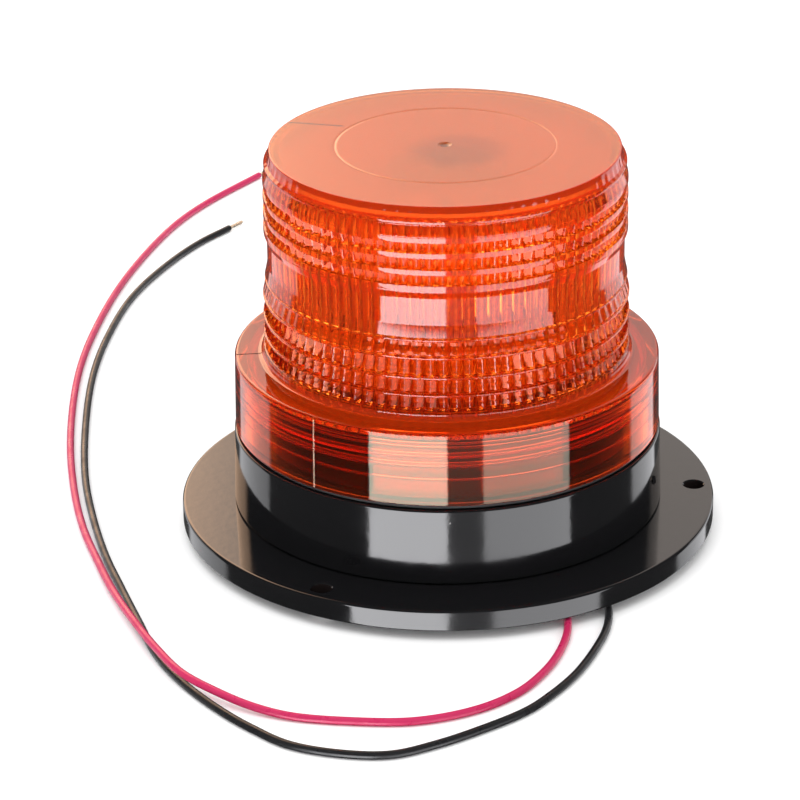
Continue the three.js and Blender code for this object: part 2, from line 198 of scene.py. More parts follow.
def mottled(graph, bsdf, low, high, scale):
    """Base colour that wanders between two close tones."""
    mix = graph.node("ShaderNodeMix", data_type="RGBA")
    mix.inputs[6].default_value = (*low, 1)
    mix.inputs[7].default_value = (*high, 1)
    graph.feed(mix.inputs[0], object_noise(graph, scale))
    graph.feed(bsdf.inputs["Base Color"], mix.outputs[2])


def uneven_gloss(graph, bsdf, low, high, scale):
    value = graph.smooth(object_noise(graph, scale), 0.3, 0.7, low, high)
    graph.feed(bsdf.inputs["Roughness"], value)


def fine_bump(graph, bsdf, scale, distance, strength=1.0):
    bump = graph.node("ShaderNodeBump", {
        "Height": object_noise(graph, scale), "Distance": distance, "Strength": strength,
    })
    graph.feed(bsdf.inputs["Normal"], bump.outputs["Normal"])


# ------------------------------------------------------------------ materials

def amber(name, colour, roughness, clear, gleam=(1, 1, 1)):
    """Tinted clear plastic; where clear is below 1, its surface is textured and scatters."""
    made, graph, bsdf = shader(name, colour, roughness, Transmission_Weight=clear, IOR=1.5,
                               Specular_Tint=(*gleam, 1))
    fine_bump(graph, bsdf, 900, 0.000004)
    return made


HAZE = (0.72, 0.18, 0.026)
# a darker tone for the flow line and the gate mark; the strength below sets how far the painted
# shade over the tower leans to it
HAZE_MARKS_AND_SHADE = (0.2, 0.075, 0.03)
TOWER_SHADE_STRENGTH = 0.36
LINE_END = -0.0245


def hazy_top():
    """The lens top: hazy amber, a greyer patch of painted shade over the tower, and a flow line in
    the moulding.
    Lengths here are metres, in the lens's own coordinates."""
    made, graph, bsdf = shader("amber_hazy", HAZE, 0.2, Transmission_Weight=0.66, IOR=1.5)
    spot = graph.node("ShaderNodeTexCoord").outputs["Object"]
    x, y, z = graph.node("ShaderNodeSeparateXYZ", {"Vector": spot}).outputs
    across = graph.math("SUBTRACT", x, 0.003)
    along = graph.math("ADD", y, 0.004)
    apart = graph.math("SQRT", graph.math("ADD", graph.math("MULTIPLY", across, across),
                                          graph.math("MULTIPLY", along, along)))
    # painted shade: a darker patch over the tower stands in for the tower seen dimly through the
    # hazy top
    painted_tower_shade = graph.smooth(apart, 0.006, 0.0145, 1.0, 0.0)
    # the flow line runs inwards from the rim as far as LINE_END, at the back on the left
    slope = graph.math("ADD", y, graph.math("MULTIPLY", x, 0.25))
    beside = graph.math("ABSOLUTE", graph.math("SUBTRACT", slope, 0.0081))
    line = graph.math("MULTIPLY", graph.smooth(beside, 0.0002, 0.0006, 1.0, 0.0),
                      graph.smooth(x, LINE_END, LINE_END + 0.001, 1.0, 0.0))
    # the darker tone's share: painted shade over the tower, and the flow line, a real mark
    marks_and_shade = graph.math("MAXIMUM", graph.math("MULTIPLY", painted_tower_shade, TOWER_SHADE_STRENGTH), line)
    # the gate at the middle is dark
    middle = graph.math("SQRT", graph.math("ADD", graph.math("MULTIPLY", x, x),
                                           graph.math("MULTIPLY", y, y)))
    marks_and_shade = graph.math("MAXIMUM", marks_and_shade, graph.smooth(middle, 0.0010, 0.0016, 1.0, 0.0))
    mix = graph.node("ShaderNodeMix", data_type="RGBA")
    graph.feed(mix.inputs["Factor"], marks_and_shade)
    mix.inputs[6].default_value = (*HAZE, 1)
    mix.inputs[7].default_value = (*HAZE_MARKS_AND_SHADE, 1)
    graph.feed(bsdf.inputs["Base Color"], mix.outputs[2])
    fine_bump(graph, bsdf, 900, 0.000004)
    return made


PLASTIC_BLACK = (0.006, 0.006, 0.0066)


def black_plastic():
    """Glossy black moulding with a trace of dust."""
    made, graph, bsdf = shader("black_plastic", PLASTIC_BLACK, 0.1, IOR=1.5)
    place = graph.node("ShaderNodeTexCoord").outputs["Object"]
    cells = graph.node("ShaderNodeTexVoronoi", {"Vector": place, "Scale": 330.0})
    chosen = graph.smooth(cells.outputs["Color"], 0.93, 0.94)
    near = graph.smooth(cells.outputs["Distance"], 0.05, 0.09, 1.0, 0.0)
    speck = graph.math("MULTIPLY", near, chosen)
    mix = graph.node("ShaderNodeMix", data_type="RGBA")
    graph.feed(mix.inputs[0], speck)
    mix.inputs[6].default_value = (*PLASTIC_BLACK, 1)
    mix.inputs[7].default_value = (0.32, 0.31, 0.3, 1)
    graph.feed(bsdf.inputs["Base Color"], mix.outputs[2])
    haze = graph.smooth(object_noise(graph, 60), 0.3, 0.7, 0.06, 0.13)
    rougher = graph.math("MULTIPLY", speck, 0.6)
    graph.feed(bsdf.inputs["Roughness"], graph.math("ADD", haze, rougher))
    fine_bump(graph, bsdf, 420, 0.000012)
    return made


def rubber():
    made, graph, bsdf = shader("black_rubber", (0.014, 0.014, 0.015), 0.7)
    mottled(graph, bsdf, (0.011, 0.011, 0.012), (0.022, 0.022, 0.022), 180)
    fine_bump(graph, bsdf, 1600, 0.00004)
    return made


def white_plastic():
    made, graph, bsdf = shader("white_plastic", (0.8, 0.78, 0.72), 0.35)
    mottled(graph, bsdf, (0.78, 0.76, 0.7), (0.84, 0.82, 0.77), 90)
    uneven_gloss(graph, bsdf, 0.28, 0.42, 140)
    fine_bump(graph, bsdf, 1200, 0.00001)
    return made


def board(name, low, high):
    """Solder mask with fine darker tracks running two ways."""
    made, graph, bsdf = shader(name, low, 0.35)
    place = graph.node("ShaderNodeTexCoord").outputs["Object"]
    tracks = graph.node("ShaderNodeTexBrick",
                        {"Vector": place, "Scale": 120.0, "Mortar Size": 0.012})
    tracks.inputs["Color1"].default_value = (*low, 1)
    tracks.inputs["Color2"].default_value = (*low, 1)
    tracks.inputs["Mortar"].default_value = (*high, 1)
    graph.feed(bsdf.inputs["Base Color"], tracks.outputs["Color"])
    uneven_gloss(graph, bsdf, 0.25, 0.45, 300)
    fine_bump(graph, bsdf, 2400, 0.00001)
    return made


def metal(name, colour, roughness, streak):
    """Metal with short streaks from drawing or turning."""
    made, graph, bsdf = shader(name, colour, roughness, Metallic=1.0)
    place = graph.node("ShaderNodeTexCoord").outputs["Object"]
    stretched = graph.node("ShaderNodeMapping", {"Vector": place})
    stretched.inputs["Scale"].default_value = streak
    grain = graph.node("ShaderNodeTexNoise", {
        "Vector": stretched.outputs["Vector"], "Scale": 900.0, "Detail": 4.0})
    graph.feed(bsdf.inputs["Roughness"],
               graph.smooth(grain.outputs["Fac"], 0.3, 0.7, roughness * 0.7, roughness * 1.4))
    bump = graph.node("ShaderNodeBump", {"Height": grain.outputs["Fac"], "Distance": 0.00001})
    graph.feed(bsdf.inputs["Normal"], bump.outputs["Normal"])
    return made


def phosphor():
    made, graph, bsdf = shader("led_yellow", (0.82, 0.5, 0.05), 0.3, Coat_Weight=0.6)
    mottled(graph, bsdf, (0.78, 0.45, 0.04), (0.88, 0.58, 0.08), 700)
    fine_bump(graph, bsdf, 2500, 0.00001)
    return made


def epoxy(name, low, high, roughness):
    made, graph, bsdf = shader(name, low, roughness)
    mottled(graph, bsdf, low, high, 500)
    fine_bump(graph, bsdf, 2200, 0.00003)
    return made


def insulation(name, low, high):
    """Soft extruded insulation: smooth, faintly waxy, with small drag marks."""
    made, graph, bsdf = shader(name, low, 0.32, Specular_IOR_Level=0.35)
    mottled(graph, bsdf, low, high, 55)
    uneven_gloss(graph, bsdf, 0.24, 0.42, 240)
    fine_bump(graph, bsdf, 1300, 0.00002)
    return made


AMBER = amber("amber_lens", (0.94, 0.21, 0.018), 0.02, 1.0)
AMBER_FLUTED = amber("amber_fluted", (0.95, 0.17, 0.012), 0.04, 1.0, (1, 0.4, 0.25))
AMBER_TEXTURED = amber("amber_textured", (0.96, 0.22, 0.014), 0.08, 0.72)
AMBER_HAZY = hazy_top()
AMBER_SKIRT = amber("amber_skirt", (0.86, 0.09, 0.008), 0.02, 0.985, (0.96, 1, 0.78))
AMBER_LEDGE = amber("amber_ledge", (0.85, 0.07, 0.006), 0.04, 0.75)
BLACK = black_plastic()
BORE_BLACK = shader("bore_black", (0.013, 0.0095, 0.009), 1.0, Specular_IOR_Level=0.0)[0]
RUBBER = rubber()
WHITE = white_plastic()
BOARD_GREEN = board("board_green", (0.02, 0.12, 0.05), (0.012, 0.07, 0.03))
BOARD_WHITE = board("board_white", (0.85, 0.85, 0.82), (0.7, 0.7, 0.66))
STEEL = metal("screw_steel", (0.6, 0.61, 0.62), 0.28, (1, 1, 6))
ALUMINIUM = metal("tower_aluminium", (0.72, 0.73, 0.75), 0.34, (6, 6, 0.3))
COPPER = metal("tinned_copper", (0.72, 0.64, 0.52), 0.3, (1, 1, 1))
PHOSPHOR = phosphor()
CHIP = epoxy("chip_black", (0.013, 0.013, 0.015), (0.024, 0.024, 0.026), 0.5)
FERRITE = epoxy("ferrite", (0.028, 0.028, 0.032), (0.045, 0.045, 0.05), 0.6)
TERMINAL = epoxy("terminal_green", (0.03, 0.25, 0.08), (0.04, 0.3, 0.1), 0.4)
RED_PVC = insulation("red_pvc", (0.47, 0.016, 0.085), (0.54, 0.022, 0.105))
BLACK_PVC = insulation("black_pvc", (0.009, 0.009, 0.010), (0.016, 0.016, 0.018))

SLOT_MATERIAL = {
    "amber_lens": AMBER, "black_plastic": BLACK, "black_rubber": RUBBER, "white_plastic": WHITE,
    "board_green": BOARD_GREEN, "board_white": BOARD_WHITE, "screw_steel": STEEL,
    "tower_aluminium": ALUMINIUM, "led_yellow": PHOSPHOR, "chip_black": CHIP,
    "ferrite": FERRITE, "terminal_green": TERMINAL, "red_pvc": RED_PVC,
    "black_pvc": BLACK_PVC, "tinned_copper": COPPER,
}


# ------------------------------------------------------------------ mesh helpers

def keep_out_of_gloss(*pieces):
    """These show in no reflection and not through clear plastic."""
    for piece in pieces:
        piece.visible_glossy = False
        piece.visible_transmission = False


def finish_piece(obj, slot, body, replaced=(), extra=()):
    """Gives a new object its slot's material and any extra ones, puts it under its body and hides
    the CAD nodes it stands for.
    """
    for made in (SLOT_MATERIAL[slot], *extra):
        obj.data.materials.append(made)
    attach(obj, body)
    if replaced:
        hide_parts(*replaced)
    return obj


def mesh_object(name, points, faces, smooth_deg=30, finishes=None):
    """A closed mesh from points in millimetres, faces turned outward, smooth between facets.
    finishes gives each face the number of its material."""
    mesh = bpy.data.meshes.new(name)
    mesh.from_pydata((np.asarray(points, float) * MM).tolist(), [], faces)
    if finishes:
        mesh.polygons.foreach_set("material_index", finishes)
    work = bmesh.new()
    work.from_mesh(mesh)
    bmesh.ops.remove_doubles(work, verts=work.verts, dist=1e-7)
    bmesh.ops.recalc_face_normals(work, faces=work.faces)
    work.to_mesh(mesh)
    work.free()
    mesh.shade_smooth()
    mesh.set_sharp_from_angle(angle=math.radians(smooth_deg))
    obj = bpy.data.objects.new(name, mesh)
    bpy.context.scene.collection.objects.link(obj)
    return obj


def soften(outline, step_deg=12, hold=0.12):
    """Rounds the corners of an (r, z) outline. A third value is that corner's fillet radius."""
    made = []
    count = len(outline)
    for i, point in enumerate(outline):
        here = Vector(point[:2])
        fillet = point[2] if len(point) > 2 else 0
        if not fillet:
            made.append(tuple(here))
            continue
        back = Vector(outline[i - 1][:2]) - here
        ahead = Vector(outline[(i + 1) % count][:2]) - here
        turn = math.pi - back.angle(ahead)
        reach = fillet * math.tan(turn / 2)
        centre = here + (back.normalized() + ahead.normalized()).normalized() * (
            fillet / math.cos(turn / 2))
        start = here + back.normalized() * reach - centre
        end = here + ahead.normalized() * reach - centre
        if back.length > reach + 3 * hold:
            made.append(tuple(here + back.normalized() * (reach + hold)))
        steps = max(2, math.ceil(math.degrees(turn) / step_deg))
        for k in range(steps + 1):
            part = turn * k / steps
            arm = (start * math.sin(turn - part) + end * math.sin(part)) / math.sin(turn)
            made.append(tuple(centre + arm))
        if ahead.length > reach + 3 * hold:
            made.append(tuple(here + ahead.normalized() * (reach + hold)))
    return made


def turned(name, outline, steps=192, centre=(0, 0)):
    """An (r, z) outline turned about an upright axis. It closes on itself or on the axis."""
    profile = np.array(soften(outline))
    on_axis = profile[0][0] < 1e-6 and profile[-1][0] < 1e-6
    count = len(profile)
    turns = np.linspace(0, 2 * np.pi, steps, endpoint=False)
    points = np.stack([
        centre[0] + np.outer(np.cos(turns), profile[:, 0]),
        centre[1] + np.outer(np.sin(turns), profile[:, 0]),
        np.tile(profile[:, 1], (steps, 1)),
    ], axis=-1).reshape(-1, 3)
    faces = []
    for j in range(steps):
        a, b = j * count, (j + 1) % steps * count
        for i in range(count - 1 if on_axis else count):
            k = (i + 1) % count
            faces.append((a + i, b + i, b + k, a + k))
    return mesh_object(name, points, faces)


def polar(radius, azimuth):
    turn = math.radians(azimuth)
    return radius * math.cos(turn), radius * math.sin(turn)


def cut_with(obj, tool):
    """Cuts obj with tool, which is used up."""
    change = obj.modifiers.new("change", "BOOLEAN")
    change.object = tool
    change.operation = "DIFFERENCE"
    change.solver = "EXACT"
    graph = bpy.context.evaluated_depsgraph_get()
    mesh = bpy.data.meshes.new_from_object(obj.evaluated_get(graph))
    obj.modifiers.clear()
    obj.data = mesh
    bpy.data.objects.remove(tool)


def resharpen(obj, smooth_deg=30):
    obj.data.shade_smooth()
    obj.data.set_sharp_from_angle(angle=math.radians(smooth_deg))


# ------------------------------------------------------------------ leads

# Centre lines of the leads, in metres: down through the grommet, out under the flange at
# the front, round the left of the lamp and back behind it.
S = SURFACE_Z * MM
RED_ROUTE = [
    (.001, -.0033, .009), (.001, -.0033, .0047), (.0013, -.0037, .00285),
    (.00215, -.00475, .0015), (.0034, -.0063, .0011), (.012, -.0165, S), (.0206, -.03, S),
    (.0256, -.044, S), (.0263, -.0613, S), (.0237, -.0731, S), (.0194, -.0828, S),
    (.0135, -.0913, S), (.004, -.0986, S), (-.0091, -.103, S), (-.0233, -.1026, S),
    (-.0364, -.1002, .0011), (-.045, -.0966, .0017), (-.0536, -.0908, .0026),
    (-.0608, -.084, .0032), (-.0673, -.0722, .0032), (-.0742, -.0556, .0025),
    (-.0798, -.04, .0018), (-.0845, -.024, .0013), (-.0891, -.0073, .0011),
    (-.0932, .0139, S), (-.0971, .0468, S), (-.0985, .0896, S), (-.096, .1232, S),
    (-.0902, .1591, S), (-.0796, .1974, S), (-.0705, .2175, S), (-.0547, .2426, S),
]
BLACK_ROUTE = [
    (.0034, .0004, .009), (.0034, .0004, .0047), (.00375, .00005, .00285),
    (.0047, -.0009, .0015), (.0062, -.0023, .0011), (.017, -.0128, S), (.0276, -.0255, S),
    (.0344, -.039, S), (.0362, -.051, S), (.0354, -.0606, S), (.0324, -.0706, S),
    (.027, -.083, S), (.021, -.0924, S), (.0152, -.0994, S), (.0047, -.1074, S),
    (-.0047, -.1132, S), (-.0142, -.1172, S), (-.0243, -.1167, S), (-.0361, -.1126, S),
    (-.0448, -.105, S), (-.0516, -.0974, S), (-.0604, -.085, S), (-.0672, -.0718, S),
    (-.0725, -.0553, S), (-.0778, -.0381, S), (-.0826, -.0218, S), (-.0872, -.0016, S),
    (-.0911, .0214, S), (-.0936, .0505, S), (-.0945, .0868, S), (-.0925, .1144, S),
    (-.0875, .1436, S), (-.0789, .168, S), (-.0704, .185, S), (-.0622, .1967, S),
]
RED_TAIL = [
    (.001, -.0033, .0095), (.0014, -.0038, .013), (.006, -.009, .02),
    (.011, -.0134, .025), (.0114, -.014, .03),
]
BLACK_TAIL = [
    (.0034, .0004, .0095), (.004, .0002, .013), (.01, -.005, .02),
    (.016, -.0126, .025), (.0166, -.014, .03),
]
TIP_LENGTH = {"red_strands": 5.0, "black_strands": 7.0}


def smooth_line(route, steps=10):
    """Points along the centripetal Catmull-Rom curve through a route."""
    knots = [Vector(p) for p in route]
    knots = [2 * knots[0] - knots[1], *knots, 2 * knots[-1] - knots[-2]]
    line = []
    for before, start, end, after in zip(knots, knots[1:], knots[2:], knots[3:]):
        gaps = [math.sqrt((b - a).length) for a, b in
                ((before, start), (start, end), (end, after))]
        leave = ((start - before) / gaps[0] - (end - before) / (gaps[0] + gaps[1])
                 + (end - start) / gaps[1]) * gaps[1]
        arrive = ((end - start) / gaps[1] - (after - start) / (gaps[1] + gaps[2])
                  + (after - end) / gaps[2]) * gaps[1]
        for k in range(steps):
            t = k / steps
            line.append(start * (2 * t**3 - 3 * t**2 + 1) + leave * (t**3 - 2 * t**2 + t)
                        + end * (3 * t**2 - 2 * t**3) + arrive * (t**3 - t**2))
    line.append(knots[-2])
    return line


def curve_piece(name, lines, radius, rounds=5):
    """Tubes of one radius along lines of points in metres, each one open spline."""
    data = bpy.data.curves.new(name, "CURVE")
    data.dimensions = "3D"
    data.bevel_depth = radius * MM
    data.bevel_resolution = rounds
    data.use_fill_caps = True
    for line in lines:
        spline = data.splines.new("POLY")
        spline.points.add(len(line) - 1)
        for point, place in zip(spline.points, line):
            point.co = (*place, 1)
    obj = bpy.data.objects.new(name, data)
    bpy.context.scene.collection.objects.link(obj)
    return obj


def strands(name, route):
    """Seven bare strands, six twisted round one, that splay a little towards the cut."""
    steps, tucked = 12, 0.6 * MM
    tip = Vector(route[-1])
    along = (tip - Vector(route[-2])).normalized()
    side = Vector((along.y, -along.x, 0))
    up = Vector((0, 0, 1))
    length = TIP_LENGTH[name] * MM
    lines = [[tip + along * (length * k / steps - tucked) for k in range(steps + 1)]]
    for i in range(6):
        line = []
        for k in range(steps + 1):
            t = k / steps
            turn = math.radians(60 * i + 200 * t)
            lay = (0.34 + 0.14 * t * t) * MM
            shorter = length * (1 - 0.04 * (i % 3))
            line.append(tip + along * (shorter * t - tucked)
                        + side * (lay * math.cos(turn)) + up * (lay * math.sin(turn)))
        lines.append(line)
    return finish_piece(curve_piece(name + "_twist", lines, 0.165, 2),
                        "tinned_copper", "lamp_base", [name])


def make_leads():
    for colour, route, tail in (("red", RED_ROUTE, RED_TAIL), ("black", BLACK_ROUTE, BLACK_TAIL)):
        node = colour + "_lead"
        slot = colour + "_pvc"
        bare = strands(colour + "_strands", route)
        lead = finish_piece(curve_piece(node + "_sleeve", [smooth_line(route)], WIRE_R),
                            slot, "lamp_base", [node])
        keep_out_of_gloss(lead, bare)
        finish_piece(curve_piece(colour + "_tail_sleeve", [smooth_line(tail)], WIRE_R),
                     slot, "lamp_base", [colour + "_tail"])


make_leads()


# ------------------------------------------------------------------ flange, pads and screws

def make_flange():
    """Drilled mounting flange with a moulded edge, a lead recess and a register ring."""
    flange = turned("flange_moulding", [
        (8, 5.15, 0.3), (34, 5.15, 0.5), (34, FLANGE_BOTTOM, 0.3),
        (FLANGE_R, FLANGE_BOTTOM, 0.4), (FLANGE_R, FLANGE_TOP, 0.65),
        (48.6, FLANGE_TOP), (48.6, 9.4, 0.3), (46.2, 9.4, 0.3), (46.2, FLANGE_TOP),
        (8, FLANGE_TOP, 0.3),
    ], steps=288)
    tools = []
    for azimuth in BOLT_AZ:
        tools.append(turned("tool", [
            (0, 0), (BOLT_HOLE + 0.9, 0), (BOLT_HOLE, FLANGE_BOTTOM + 0.4),
            (BOLT_HOLE, FLANGE_TOP - 0.3), (BOLT_HOLE + 0.9, FLANGE_TOP + 0.6),
            (0, FLANGE_TOP + 0.6),
        ], 48, polar(BOLT_CIRCLE, azimuth)))
    for azimuth in FIX_AZ:
        spot = polar(FIX_CIRCLE, azimuth)
        tools.append(turned("tool", [(0, 0), (3.4, 0), (3.4, 5), (1.8, 5), (1.8, 12), (0, 12)],
                            40, spot))
        tools.append(turned("tool", [(0, FLANGE_TOP), (5.2, FLANGE_TOP), (5.2, 12), (0, 12)],
                            48, polar(FIX_CIRCLE + 0.8, azimuth)))
    for tool in tools:
        cut_with(flange, tool)
    resharpen(flange)
    # the drilled walls of the three mounting holes are matt
    for azimuth in BOLT_AZ:
        x, y = polar(BOLT_CIRCLE, azimuth)
        for face in flange.data.polygons:
            away = math.hypot(face.center.x / MM - x, face.center.y / MM - y)
            if away < BOLT_HOLE + 0.05:
                face.material_index = 1
    finish_piece(flange, "black_plastic", "lamp_base", ["mounting_flange"], (BORE_BLACK,))


def make_pad(node):
    """A rubber foot: an annular sector with rounded corners and softened edges."""
    number = int(node[-1])
    middle = math.radians(BOLT_AZ[number - 1])
    low, high = 0.0, FLANGE_BOTTOM - 0.3
    inner, outer, half = 42.0, 57.0, math.radians(22)
    corner = 2.6

    def loop(inset, z):
        points = []
        a, b = inner + inset, outer - inset
        for radius, sweep in ((b, 1), (a, -1)):
            edge = half - inset / radius
            cut = corner / radius
            for k in range(25):
                share = (k / 24) * 2 - 1
                turn = sweep * share * edge
                slack = max(0.0, abs(turn) - (edge - cut)) * radius
                inward = corner - math.sqrt(max(corner**2 - slack**2, 0))
                r = radius - inward if radius == b else radius + inward
                points.append((*polar(r, math.degrees(middle + turn)), z))
        return points

    loops = [loop(0.5, low), loop(0.15, low + 0.15), loop(0, low + 0.5), loop(0, high - 0.3),
             loop(0.3, high)]
    count = len(loops[0])
    points = [p for ring in loops for p in ring]
    faces = [tuple(range(count)), tuple((len(loops) - 1) * count + k for k in range(count))]
    for layer in range(len(loops) - 1):
        for k in range(count):
            n = (k + 1) % count
            faces.append((layer * count + k, layer * count + n,
                          (layer + 1) * count + n, (layer + 1) * count + k))
    pad = mesh_object(node + "_moulding", points, faces)
    finish_piece(pad, "black_rubber", "lamp_base", [node])


def screw_body(name, spot, up, seat, tip, head_r, head_h, shank_r, cross=0):
    """A pan-head screw along Z with a cross recess, turned by cross, and a fine ridged shank."""
    sign = 1 if up else -1
    outline = [(0, tip), (shank_r * 0.25, tip - sign * 0.2)]
    z = tip - sign * 1.4
    pitch = 0.8
    while sign * (z - seat) > 1.2:
        outline += [(shank_r, z), (shank_r - 0.25, z - sign * pitch / 2)]
        z -= sign * pitch
    outline += [
        (shank_r - 0.1, seat), (head_r, seat, 0.2), (head_r, seat - sign * head_h * 0.5, 0.3),
        (head_r * 0.72, seat - sign * head_h * 0.93, 0.8), (0, seat - sign * head_h),
    ]
    screw = turned(name, outline, 48, spot)
    top = seat - sign * head_h
    for quarter in (0, 90):
        slot_box = cross_arm(spot, quarter + cross, head_r * 0.62, 0.32, top, sign)
        cut_with(screw, slot_box)
    resharpen(screw)
    return screw


def cross_arm(spot, azimuth, reach, half_width, top, sign):
    """A tapered bar that cuts one arm of a cross recess."""
    turn = math.radians(azimuth)
    along = Vector((math.cos(turn), math.sin(turn)))
    across = Vector((-along.y, along.x))
    centre = Vector(spot)
    points = []
    for z, length, width in ((top - sign * 0.4, reach * 1.1, half_width * 1.2),
                             (top + sign * 0.85, reach * 0.45, half_width * 0.8)):
        for a, b in ((1, 1), (-1, 1), (-1, -1), (1, -1)):
            p = centre + along * (a * length) + across * (b * width)
            points.append((p.x, p.y, z))
    faces = [(0, 1, 2, 3), (4, 5, 6, 7), (0, 1, 5, 4), (1, 2, 6, 5), (2, 3, 7, 6), (3, 0, 4, 7)]
    return mesh_object("arm", points, faces)


def make_screws():
    for i, azimuth in enumerate(FIX_AZ):
        node = f"flange_screw_{i + 1}"
        screw = screw_body(node + "_turned", polar(FIX_CIRCLE, azimuth), True, 4.7, 17,
                           2.9, 1.7, 1.45, 20 * i)
        finish_piece(screw, "screw_steel", "lamp_base", [node])
    for i, azimuth in enumerate(BOSS_AZ):
        node = f"board_screw_{i + 1}"
        screw = screw_body(node + "_turned", polar(BOSS_CIRCLE, azimuth), False, 42.1, 33.4,
                           2.5, 1.5, 1.1, 20 * i)
        finish_piece(screw, "screw_steel", "lamp_base", [node])
    screw = screw_body("tower_screw_turned", (0, 0), False, 90, 79, 2.6, 1.6, 1.1)
    finish_piece(screw, "screw_steel", "lamp_base", ["tower_screw"])


def make_grommet():
    """Rubber grommet, lipped on both sides of the flange, with a bore for each lead."""
    grommet = turned("grommet_moulding", [
        (0, 4.2), (10, 4.2, 0.25), (10, 4.85, 0.2), (7.6, 4.85), (7.6, 7.95), (9.4, 7.95, 0.3),
        (8.6, 9.2, 0.4), (0, 9.2),
    ], 96)
    for x, y in ((1.0, -3.3), (3.4, 0.4)):
        cut_with(grommet, turned("tool", [(0, 0), (1.25, 0), (1.25, 12), (0, 12)], 32, (x, y)))
    resharpen(grommet)
    finish_piece(grommet, "black_rubber", "lamp_base", ["cable_grommet"])


# ------------------------------------------------------------------ walls with a screw thread

class Wall:
    """A closed surface built ring by ring round Z, one ring able to join the next by a helix."""

    def __init__(self, turns):
        self.steps = len(turns)
        self.turns = turns
        self.points = []
        self.faces = []
        self.finishes = []
        self.finish = 0
        self.count = 0
        self.rings = []

    def add_points(self, radius, height):
        radius = np.broadcast_to(radius, self.steps)
        height = np.broadcast_to(height, self.steps)
        self.points.append(np.stack([radius * np.cos(self.turns), radius * np.sin(self.turns),
                                     height], axis=-1))
        first = self.count
        self.count += self.steps
        return list(range(first, first + self.steps))

    def note_finish(self):
        """Faces made since the last call take the present finish."""
        self.finishes += [self.finish] * (len(self.faces) - len(self.finishes))

    def use(self, finish):
        self.note_finish()
        self.finish = finish

    def bridge(self, low, high):
        for j in range(self.steps):
            n = (j + 1) % self.steps
            self.faces.append((low[j], low[n], high[n], high[j]))

    def ring(self, radius, height):
        made = self.add_points(radius, height)
        if self.rings:
            self.bridge(self.rings[-1], made)
        self.rings.append(made)

    def helix(self, radius, height, end_radius, end_height, z_start, turns, crest, per_pitch=12,
              finish=None):
        """Ends at a new ring, by way of a helical ridge of the given crest radius."""
        self.note_finish()
        plain = self.finish
        new = self.add_points(end_radius, end_height)
        low, high = (self.rings[-1], new) if end_height > height else (new, self.rings[-1])
        # half the ridge's width at its foot and the width of one flank, in pitches
        foot, flank = 0.30, 0.16
        rows = []
        count = per_pitch * (turns + 1) + 1
        share = self.turns / (2 * np.pi)
        for i in range(count):
            across = (i % per_pitch) / per_pitch - 0.5
            lap = i // per_pitch + share
            ridge = np.clip((foot - abs(across)) / flank, 0, 1)
            ends = np.clip(np.minimum(lap, turns + 1 - lap - 0.02) * 10, 0, 1)
            ends = ends * ends * (3 - 2 * ends)
            z = z_start + PITCH * (i / per_pitch - 0.5 + share)
            rows.append(self.add_points(radius + (crest - radius) * ridge * ends, z))
        last = self.steps - 1
        for i in range(count - 1):
            on_ridge = abs((i + 0.5) % per_pitch / per_pitch - 0.5) < 0.26
            self.use(finish if finish and on_ridge else plain)
            for j in range(last):
                self.faces.append((rows[i][j], rows[i][j + 1], rows[i + 1][j + 1], rows[i + 1][j]))
        self.use(plain)
        for i in range(count - 1 - per_pitch):
            self.faces.append((rows[i][last], rows[i + per_pitch][0],
                               rows[i + per_pitch + 1][0], rows[i + 1][last]))
        for j in range(last):
            self.faces.append((low[j], low[j + 1], rows[0][j + 1], rows[0][j]))
            self.faces.append((rows[-1][j], rows[-1][j + 1], high[j + 1], high[j]))
        seam_low = [rows[i][0] for i in range(per_pitch + 1)]
        self.faces.append((low[last], low[0], *seam_low, rows[0][last]))
        seam_high = [rows[i][last] for i in range(count - 1, count - 2 - per_pitch, -1)]
        self.faces.append((rows[-1][0], high[0], high[last], *seam_high))
        self.rings.append(new)

    def close(self):
        self.bridge(self.rings[-1], self.rings[0])

    def mesh(self, name, smooth_deg=30):
        self.note_finish()
        points = np.concatenate(self.points)
        return mesh_object(name, points, self.faces, smooth_deg, self.finishes)


# ------------------------------------------------------------------ housing and seal

